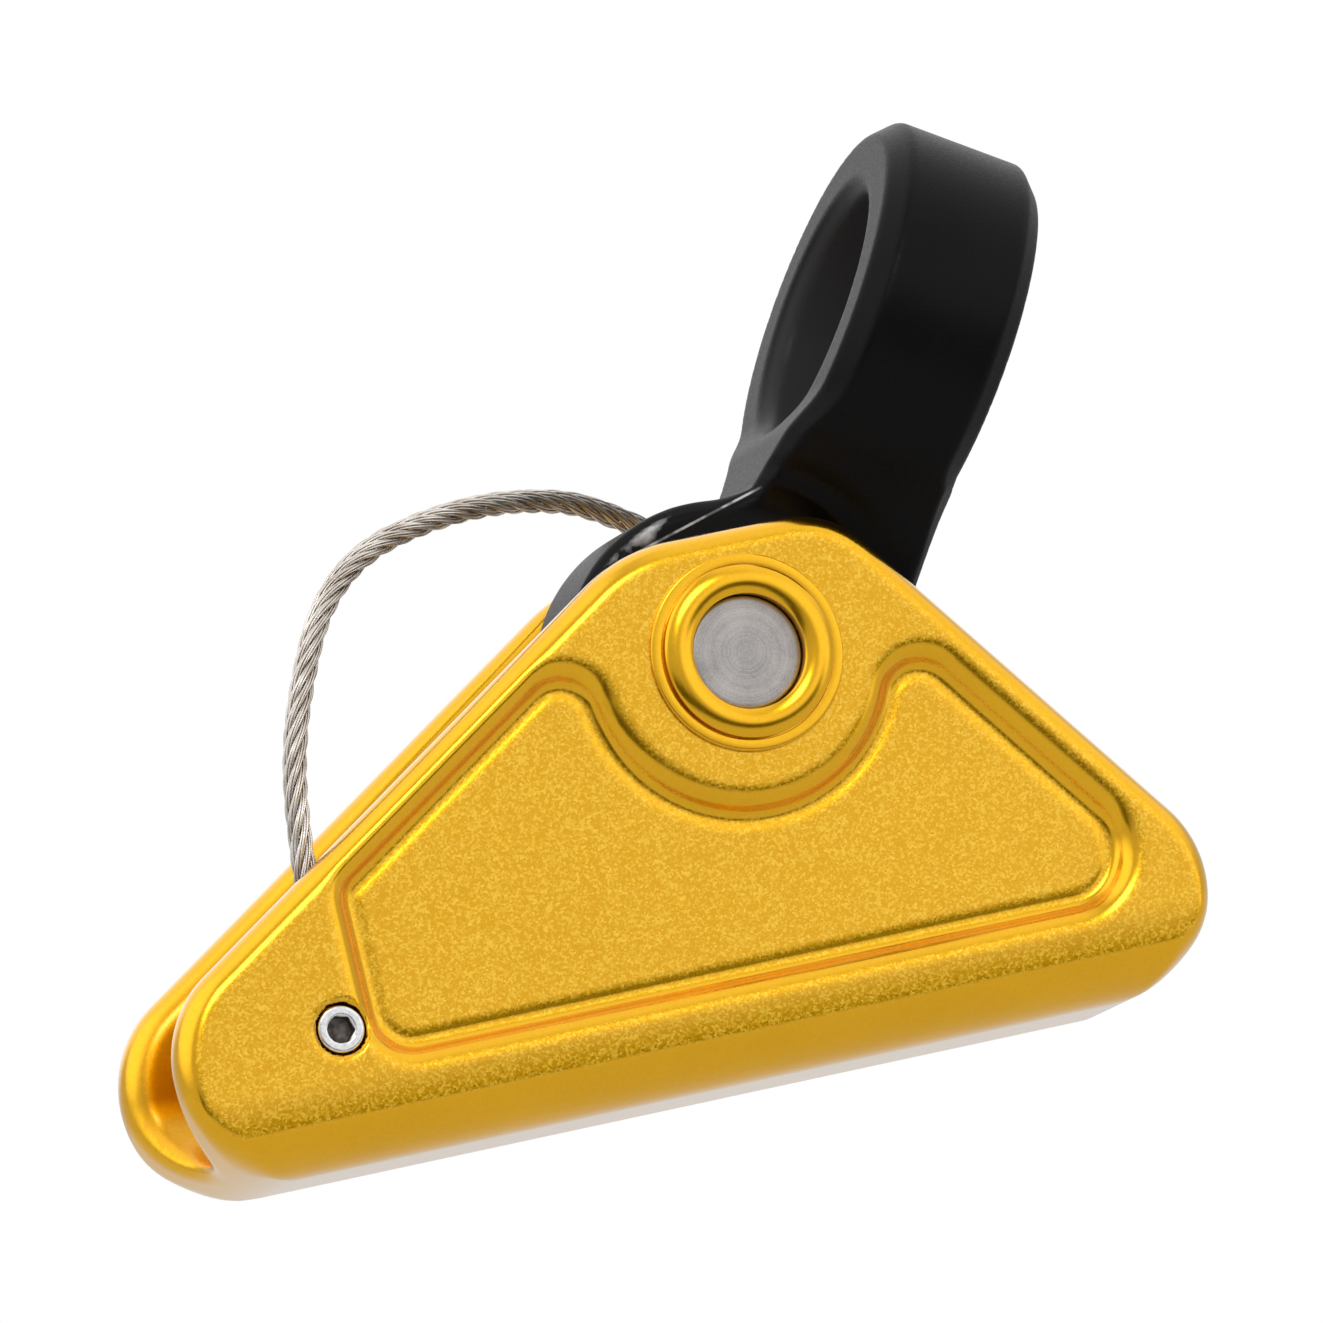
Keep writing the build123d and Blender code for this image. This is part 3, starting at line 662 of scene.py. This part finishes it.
def terminal_field(x, y, z):
    """The flat tang under the anchor screw, and the barrel crimped on the tether's other end."""
    along = (x - SCREW_X) * sin(LEAN) + (z - SCREW_Z) * cos(LEAN)
    across = (x - SCREW_X) * cos(LEAN) - (z - SCREW_Z) * sin(LEAN)
    foot = np.hypot(across, np.minimum(along, 0)) - 2.8
    tang = round_max(np.maximum(foot, along - 8.4), np.abs(y + 8.4) - 0.8, 0.2)
    radius = np.hypot(across, y + 7.9)
    barrel = round_max(radius - 2.0 + crimp(along, (8.6, 10.2, 11.8)), slab(along, 6.4, TERMINAL_END), 0.35)
    body = round_min(tang, barrel, 0.4)
    return np.maximum(body, 1.45 - np.hypot(x - SCREW_X, z - SCREW_Z))


def net_object(name, field, low, high, step):
    return mesh_object(name, *surface_nets(field, low, high, step))


# ---------------------------------------------------------------- tether
def tether_line():
    """Points in millimetres along the tether's NURBS spline."""
    curve = bpy.data.curves.new("tether_line", "CURVE")
    curve.dimensions = "3D"
    curve.resolution_u = 40
    spline = curve.splines.new("NURBS")
    spline.points.add(len(TETHER_ROUTE) - 1)
    for point, place in zip(spline.points, TETHER_ROUTE):
        point.co = (*(Vector(place) * MM), 1)
    spline.order_u = 3
    spline.use_endpoint_u = True
    helper = bpy.data.objects.new("tether_line", curve)
    bpy.context.scene.collection.objects.link(helper)
    mesh = bpy.data.meshes.new_from_object(helper)
    line = np.array([v.co for v in mesh.vertices]) / MM
    bpy.data.objects.remove(helper)
    bpy.data.meshes.remove(mesh)
    return line


def evenly(line, spacing):
    run = np.concatenate([[0], np.cumsum(np.linalg.norm(np.diff(line, axis=0), axis=1))])
    count = int(run[-1] / spacing) + 1
    at = np.linspace(0, run[-1], count)
    return np.stack([np.interp(at, run, line[:, i]) for i in range(3)], axis=1), at


def frames_along(line):
    """Two unit vectors across the line at each point, turning as little as they can."""
    tangents = np.gradient(line, axis=0)
    tangents /= np.linalg.norm(tangents, axis=1, keepdims=True)
    side = np.cross(tangents[0], (0, 1, 0))
    sides = []
    for tangent in tangents:
        side = side - tangent * (side @ tangent)
        side = side / np.linalg.norm(side)
        sides.append(side)
    sides = np.array(sides)
    return sides, np.cross(tangents, sides)


STRANDS, WIRES = 6, 6
LAY, WIRE_LAY = 14.5, 9.0
STRAND_AT, WIRE_AT, WIRE_R = 0.80, 0.262, 0.131


def build_tether():
    line, at = evenly(tether_line(), 0.36)
    across, upward = frames_along(line)
    spin = np.linspace(0, 2 * pi, 6, endpoint=False)
    points, faces = [], []
    for strand in range(STRANDS):
        turn = 2 * pi * (at / LAY + strand / STRANDS)
        out = across * np.cos(turn)[:, None] + upward * np.sin(turn)[:, None]
        around = -across * np.sin(turn)[:, None] + upward * np.cos(turn)[:, None]
        centre = line + out * STRAND_AT
        for wire in range(WIRES):
            phase = 2 * pi * (wire / WIRES - at / WIRE_LAY)
            middle = centre + (out * np.cos(phase)[:, None] + around * np.sin(phase)[:, None]) * WIRE_AT
            first = len(points) * len(spin) * len(line)
            rings = [middle + (out * cos(a) + around * sin(a)) * WIRE_R for a in spin]
            points.append(np.stack(rings, axis=1).reshape(-1, 3))
            i, j = np.meshgrid(np.arange(len(line) - 1), np.arange(len(spin)), indexing="ij")
            k = (j + 1) % len(spin)
            row = len(spin)
            quads = np.stack([i * row + j, i * row + k, (i + 1) * row + k, (i + 1) * row + j], axis=-1)
            faces.append(quads.reshape(-1, 4) + first)
    return mesh_object("tether", np.concatenate(points), np.concatenate(faces)), line, at[-1]


# ---------------------------------------------------------------- materials
class Nodes:
    """A small builder for a procedural material round one Principled shader."""

    def __init__(self, name, **sockets):
        self.material = bpy.data.materials.new(name)
        self.material.use_nodes = True
        self.tree = self.material.node_tree
        self.shader = self.tree.nodes["Principled BSDF"]
        for socket, value in sockets.items():
            self.shader.inputs[socket.replace("_", " ")].default_value = value
        self.place = self.add("ShaderNodeTexCoord").outputs["Object"]

    def add(self, kind, inputs=None, **settings):
        node = self.tree.nodes.new(kind)
        for key, value in settings.items():
            setattr(node, key, value)
        for key, value in (inputs or {}).items():
            self.feed(node.inputs[key], value)
        return node

    def feed(self, socket, value):
        if isinstance(value, bpy.types.NodeSocket):
            self.tree.links.new(value, socket)
        else:
            socket.default_value = value

    def noise(self, scale, detail=3.0, place=None, roughness=0.5, **settings):
        inputs = {"Vector": place or self.place, "Scale": scale, "Detail": detail, "Roughness": roughness}
        return self.add("ShaderNodeTexNoise", inputs, **settings).outputs["Fac"]

    def stretch(self, scale, place=None):
        inputs = {"Vector": place or self.place, "Scale": scale}
        return self.add("ShaderNodeMapping", inputs).outputs["Vector"]

    def ramp(self, value, low, high, to_low=0.0, to_high=1.0):
        inputs = {"Value": value, "From Min": low, "From Max": high, "To Min": to_low, "To Max": to_high}
        return self.add("ShaderNodeMapRange", inputs).outputs["Result"]

    def math(self, operation, a, b=0.0):
        return self.add("ShaderNodeMath", {0: a, 1: b}, operation=operation).outputs[0]

    def mix(self, share, a, b):
        """Colours a and b mixed; the node's colour sockets are found by being the enabled ones."""
        node = self.add("ShaderNodeMix", data_type="RGBA")
        for socket, value in zip((s for s in node.inputs if s.enabled), (share, a, b)):
            self.feed(socket, value)
        return next(s for s in node.outputs if s.enabled)

    def between(self, share, a, b):
        """Numbers a and b mixed."""
        inputs = {"Value": share, "To Min": a, "To Max": b}
        return self.add("ShaderNodeMapRange", inputs).outputs["Result"]

    def offset(self, centre):
        """The place counted from a point in X and Z, in millimetres."""
        inputs = {0: self.place, 1: (centre[0] * MM, 0, centre[1] * MM)}
        return self.add("ShaderNodeVectorMath", inputs, operation="SUBTRACT").outputs[0]

    def dot(self, a, b):
        return self.add("ShaderNodeVectorMath", {0: a, 1: b}, operation="DOT_PRODUCT").outputs["Value"]

    def streak(self, start, end, width):
        """1 along a straight scratch between two points in X and Z, in millimetres, on the side of -Y."""
        run = hypot(end[0] - start[0], end[1] - start[1])
        ahead = ((end[0] - start[0]) / run, 0, (end[1] - start[1]) / run)
        off = self.offset(start)
        along = self.dot(off, ahead)
        across = self.dot(off, (-ahead[2], 0, ahead[0]))
        near = self.ramp(self.math("ABSOLUTE", across), width * MM, 0.4 * width * MM)
        middle = self.math("ABSOLUTE", self.math("SUBTRACT", along, 0.5 * run * MM))
        front = self.ramp(self.add("ShaderNodeSeparateXYZ", {0: self.place}).outputs[1], -0.0055, -0.0065)
        ends = self.ramp(middle, 0.5 * run * MM, 0.4 * run * MM)
        return self.math("MULTIPLY", self.math("MULTIPLY", near, ends), front)

    def attribute(self, name):
        return self.add("ShaderNodeAttribute", attribute_name=name).outputs["Fac"]

    def bump(self, height, distance, strength=1.0, normal=None):
        inputs = {"Height": height, "Distance": distance, "Strength": strength}
        node = self.add("ShaderNodeBump", inputs)
        if normal is not None:
            self.feed(node.inputs["Normal"], normal)
        return node.outputs["Normal"]

    def set(self, **sockets):
        for socket, value in sockets.items():
            self.feed(self.shader.inputs[socket.replace("_", " ")], value)
        return self.material


def colour(r, g, b):
    return (r, g, b, 1.0)


def gold_material():
    m = Nodes("gold_anodised", Metallic=1.0, Coat_Weight=1.0, Coat_IOR=1.32, Coat_Roughness=0.12)
    polish = m.attribute("polish")
    grain = m.add("ShaderNodeTexVoronoi", {"Vector": m.place, "Scale": 4600.0}).outputs["Color"]
    flake = m.add("ShaderNodeSeparateColor", {0: grain}).outputs[0]
    grit = m.noise(3400.0, 2.0)
    cloud = m.noise(60.0, 4.0)
    base = m.mix(m.ramp(cloud, 0.35, 0.65), colour(0.86, 0.445, 0.002), colour(0.92, 0.485, 0.004))
    # Bright flakes in the base colour are painted glints, standing in for the blasted face's specular
    # sparkle; the darker flakes are the grain's own tone.
    grain_and_painted_glints = m.mix(m.ramp(flake, 0.4, 1.0), colour(0.74, 0.375, 0.002), colour(1.0, 0.64, 0.06))
    base = m.mix(m.between(polish, 0.8, 0.10), base, grain_and_painted_glints)
    inner = m.attribute("inner")
    # Inside the channel the base turns a deeper orange: painted shade, standing in for light bounced
    # between the gold walls.
    base = m.mix(m.math("MULTIPLY", inner, 0.8), base, colour(0.80, 0.36, 0.0))
    rough = m.between(polish, m.ramp(flake, 0.0, 1.0, 0.26, 0.40), 0.20)
    rough = m.between(inner, rough, 0.36)
    fine = m.between(polish, 1.0, 0.12)
    blast = m.bump(m.math("MULTIPLY", grit, fine), 0.00002, 0.12)
    return m.set(Base_Color=base, Roughness=rough, Normal=blast)


SCRAPE = ((-6.3, 40.77), (7.2, 44.49))  # the ends, in X and Z, of a thin scratch on the cam's front edge
SCRAPE_WIDTH = 0.16


def black_material():
    m = Nodes("black_anodised", Metallic=0.0, IOR=1.2)
    wear = m.attribute("wear")
    grit = m.noise(3800.0, 3.0)
    cloud = m.noise(90.0, 4.0)
    scratch = m.noise(420.0, 4.0, m.stretch((0.35, 1.0, 0.35)))
    worn = m.math("MULTIPLY", wear, m.ramp(scratch, 0.52, 0.62))
    broken = m.ramp(m.noise(500.0, 3.0), 0.40, 0.55, 0.25, 1.0)
    scraped = m.streak(*SCRAPE, SCRAPE_WIDTH)
    worn = m.math("MAXIMUM", worn, m.math("MULTIPLY", scraped, broken))
    base = m.mix(m.ramp(cloud, 0.3, 0.7), colour(0.0015, 0.0014, 0.0015), colour(0.0035, 0.0032, 0.0033))
    bore = m.attribute("bore")
    # The lighter grey in the eye's bore is a painted sheen, standing in for the lamps' reflection on the
    # bore's wall.
    base = m.mix(bore, base, colour(0.035, 0.033, 0.033))
    base = m.mix(worn, base, colour(0.50, 0.50, 0.50))
    rough = m.between(bore, m.ramp(grit, 0.3, 0.7, 0.32, 0.44), 0.34)
    return m.set(Base_Color=base, Roughness=rough, Normal=m.bump(grit, 0.00004, 0.5))


def steel_material(name, base, rough, rings=True, fine=2600.0, contrast=0.18):
    """Steel with a fine mottle; where rings is true, turning marks run round the pin's axis."""
    m = Nodes(name, Metallic=1.0, IOR=2.5)
    parts = m.add("ShaderNodeSeparateXYZ", {0: m.offset((0.0, PIVOT_Z))})
    x, y, z = (parts.outputs[i] for i in range(3))
    radius = m.math("SQRT", m.math("ADD", m.math("MULTIPLY", x, x), m.math("MULTIPLY", z, z)))
    along = m.add("ShaderNodeCombineXYZ", {"X": radius, "Y": y, "Z": 0.0}).outputs[0]
    speckle = m.noise(fine, 4.0)
    marks = m.between(0.5, speckle, m.noise(fine, 4.0, along)) if rings else speckle
    cloud = m.noise(260.0, 3.0)
    dark = tuple((1 - contrast) * c for c in base[:3]) + (1.0,)
    light = tuple((1 + 0.5 * contrast) * c for c in base[:3]) + (1.0,)
    mottle = m.math("ADD", m.math("MULTIPLY", marks, 0.6), m.math("MULTIPLY", cloud, 0.4))
    tone = m.mix(m.ramp(mottle, 0.38, 0.62), dark, light)
    roughness = m.ramp(marks, 0.3, 0.7, rough - 0.06, rough + 0.08)
    return m.set(Base_Color=tone, Roughness=roughness, Normal=m.bump(marks, 0.00003, 0.7))


def screw_material():
    """Bright stainless steel, with painted shade in the socket: a dark, mottled colour."""
    m = Nodes("stainless_screw", Metallic=1.0, IOR=2.5)
    socket_shade = m.attribute("socket")
    marks = m.noise(2400.0, 4.0)
    bright = m.mix(m.ramp(marks, 0.35, 0.65), colour(0.66, 0.66, 0.66), colour(0.82, 0.82, 0.82))
    # The dark, mottled colour in the hex socket is painted shade, standing in for the shade inside the
    # recess.
    shade_mottle = m.ramp(m.noise(1300.0, 3.0), 0.35, 0.65)
    painted_shade = m.mix(shade_mottle, colour(0.06, 0.05, 0.045), colour(0.22, 0.20, 0.18))
    rough = m.between(socket_shade, m.ramp(marks, 0.3, 0.7, 0.14, 0.24), 0.5)
    return m.set(Base_Color=m.mix(socket_shade, bright, painted_shade), Roughness=rough, Normal=m.bump(marks, 0.00002, 0.5))


def rope_material():
    m = Nodes("wire_rope", Metallic=1.0, IOR=2.5)
    cloud = m.noise(320.0, 4.0)
    grime = m.noise(900.0, 3.0)
    base = m.mix(m.ramp(cloud, 0.35, 0.65), colour(0.58, 0.52, 0.46), colour(0.86, 0.82, 0.77))
    rough = m.ramp(grime, 0.3, 0.7, 0.28, 0.5)
    return m.set(Base_Color=base, Roughness=rough, Normal=m.bump(grime, 0.00002, 0.4))


# ---------------------------------------------------------------- camera, light and floor
def build_camera():
    data = bpy.data.cameras.new("camera")
    camera = bpy.data.objects.new("camera", data)
    bpy.context.scene.collection.objects.link(camera)
    azimuth, elevation, roll, distance = radians(-17.6), radians(-5.4), radians(-13.45), 1.8
    away = Vector((sin(azimuth) * cos(elevation), -cos(azimuth) * cos(elevation), sin(elevation)))
    target = Vector((-4.45, 0, 30.59)) * MM
    camera.location = target + away * distance
    facing = (-away).to_track_quat("-Z", "Y").to_matrix()
    camera.rotation_euler = (facing @ Matrix.Rotation(roll, 3, "Z")).to_euler()
    data.sensor_width = 36
    data.lens = 506.5
    data.clip_start, data.clip_end = 0.02, 20
    bpy.context.scene.camera = camera


def direction(azimuth, elevation):
    """The unit vector from the object towards that place; azimuth 0 is along -Y, and 90 along +X."""
    a, e = radians(azimuth), radians(elevation)
    return (sin(a) * cos(e), -cos(a) * cos(e), sin(e))


SKY = 0.62
SOFTBOXES = [  # azimuth, elevation, half width in degrees, softness in degrees, radiance
    (38, 8, 14, 16, 1.3),
    (1, 28, 6, 5, 7.0),
    (-75, 45, 22, 24, 1.5),
    (70, 48, 20, 24, 1.1),
    (170, 50, 30, 20, 1.2),
]
DARK_CARDS = [
    (-16, -11, 6, 6, 0.05),
    (0, -12, 6, 6, 0.05),
    (16, -12, 6, 6, 0.05),
    (32, -13, 6, 7, 0.08),
    (-32, -12, 8, 8, 0.05),
]


def build_studio():
    """A light tent: an even white sky with softboxes, and a dark opening in front, low down."""
    world = bpy.data.worlds.new("studio")
    bpy.context.scene.world = world
    world.use_nodes = True
    tree = world.node_tree
    background = tree.nodes["Background"]

    def add(kind, settings=None, **inputs):
        node = tree.nodes.new(kind)
        for key, value in (settings or {}).items():
            setattr(node, key, value)
        for key, value in inputs.items():
            socket = node.inputs[int(key[1:]) if key[1:].isdigit() else key.replace("_", " ")]
            if isinstance(value, bpy.types.NodeSocket):
                tree.links.new(value, socket)
            else:
                socket.default_value = value
        return node

    view = add("ShaderNodeTexCoord").outputs["Generated"]
    light = SKY
    for azimuth, elevation, half, soft, radiance in SOFTBOXES + DARK_CARDS:
        towards = direction(azimuth, elevation)
        near = add("ShaderNodeVectorMath", {"operation": "DOT_PRODUCT"}, _0=view, _1=towards)
        edge = {"interpolation_type": "SMOOTHSTEP"}
        limits = {"From_Min": cos(radians(half + soft)), "From_Max": cos(radians(half))}
        share = add("ShaderNodeMapRange", edge, Value=near.outputs["Value"], **limits).outputs["Result"]
        light = add("ShaderNodeMapRange", Value=share, To_Min=light, To_Max=radiance).outputs["Result"]
    seen = add("ShaderNodeLightPath").outputs["Is Camera Ray"]
    strength = add("ShaderNodeMapRange", Value=seen, To_Min=light, To_Max=1.0).outputs["Result"]
    background.inputs["Color"].default_value = (1, 1, 1, 1)
    tree.links.new(strength, background.inputs["Strength"])


def build_floor():
    """A pale table top, whose near edge lets the tent's dark opening show under it."""
    size, near, height = 2.5, -0.36, -0.1
    mesh = bpy.data.meshes.new("floor")
    corners = [(-size, near, height), (size, near, height), (size, size, height), (-size, size, height)]
    mesh.from_pydata(corners, [], [(0, 1, 2, 3)])
    floor = bpy.data.objects.new("floor", mesh)
    bpy.context.scene.collection.objects.link(floor)
    m = Nodes("floor_paint", Roughness=0.8)
    grain = m.noise(30.0, 3.0)
    shade = m.mix(grain, colour(0.54, 0.54, 0.54), colour(0.58, 0.58, 0.58))
    floor.data.materials.append(m.set(Base_Color=shade))


# ---------------------------------------------------------------- assembly
def paint(obj, material):
    obj.data.materials.clear()
    obj.data.materials.append(material)


def install(piece, material, slot, body, *nodes):
    """Paints a piece, hangs it under its body's empty and hides the CAD nodes that it stands for. The slot
    argument is not used.
    """
    paint(piece, material)
    if nodes:
        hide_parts(*nodes)
    if body:
        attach(piece, body)


scene = bpy.context.scene
scene.view_settings.view_transform = "Standard"
scene.view_settings.look = "None"
build_camera()
build_studio()
build_floor()

GOLD = gold_material()
BLACK = black_material()
TURNED = steel_material("turned_steel", colour(0.46, 0.435, 0.42), 0.45, fine=5600.0, contrast=0.32)
SCREW_STEEL = screw_material()
FITTING = steel_material("stainless_fitting", colour(0.62, 0.60, 0.57), 0.35, rings=False, fine=1500.0)
SPRING = steel_material("spring_steel", colour(0.5, 0.5, 0.5), 0.35, rings=False)
BALL = steel_material("ball_steel", colour(0.7, 0.7, 0.7), 0.15, rings=False)
BRONZE = steel_material("bronze", colour(0.55, 0.36, 0.16), 0.4)
BUTTON_STEEL = steel_material("button_steel", colour(0.12, 0.12, 0.13), 0.4)
ROPE = rope_material()

FINE = 0.45
install(build_shell(FINE), GOLD, "gold_anodised", "shell", "shell")
for name, profile in (("front_boss", FRONT_BOSS), ("rear_boss", REAR_BOSS)):
    boss = lathe(name, profile, segments=192)
    new_mesh_attribute(boss, "polish", [1.0] * len(boss.data.vertices))
    install(boss, GOLD, "gold_anodised", "shell")
install(build_cam(FINE), BLACK, "black_anodised", "cam", "cam")
install(build_screw(), SCREW_STEEL, "stainless_screw", "shell", "anchor_screw")

shank = net_object("pin_tube", shank_field, (-6, PIN_LOW, PIVOT_Z - 6), (6, PIN_HIGH, PIVOT_Z + 6), 0.2)
install(shank, TURNED, "turned_steel", "pin", "pin_shank")
install(lathe("pin_grip", HEAD), TURNED, "turned_steel", "pin", "pin_head")
install(lathe("pin_button", BUTTON, closed=False), BUTTON_STEEL, "dark_steel", "button", "release_button")
eyelet = net_object("tether_eyelet", eyelet_field, (-8.5, 12.5, 19.5), (12, 20.5, 49), 0.22)
install(eyelet, FITTING, "stainless_fitting", "pin_carrier", "lanyard_eyelet")
terminal = net_object("tether_terminal", terminal_field, (-52.5, -10.2, -3), (-43.5, -5.6, 15), 0.18)
install(terminal, FITTING, "stainless_fitting", "shell", "anchor_terminal")

tether, path, length = build_tether()
install(tether, ROPE, "wire_rope", None, "lanyard_cable")
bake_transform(tether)

MATERIALS = {
    "cam_bushing": BRONZE,
    "cam_spring": SPRING,
    "washer_front": BRONZE,
    "washer_rear": BRONZE,
    "pin_spindle": TURNED,
    "spindle_spring": SPRING,
    "lock_ball_lower": BALL,
    "lock_ball_upper": BALL,
    "eyelet_ring": SPRING,
}
for node, material in MATERIALS.items():
    paint(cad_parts[node], material)
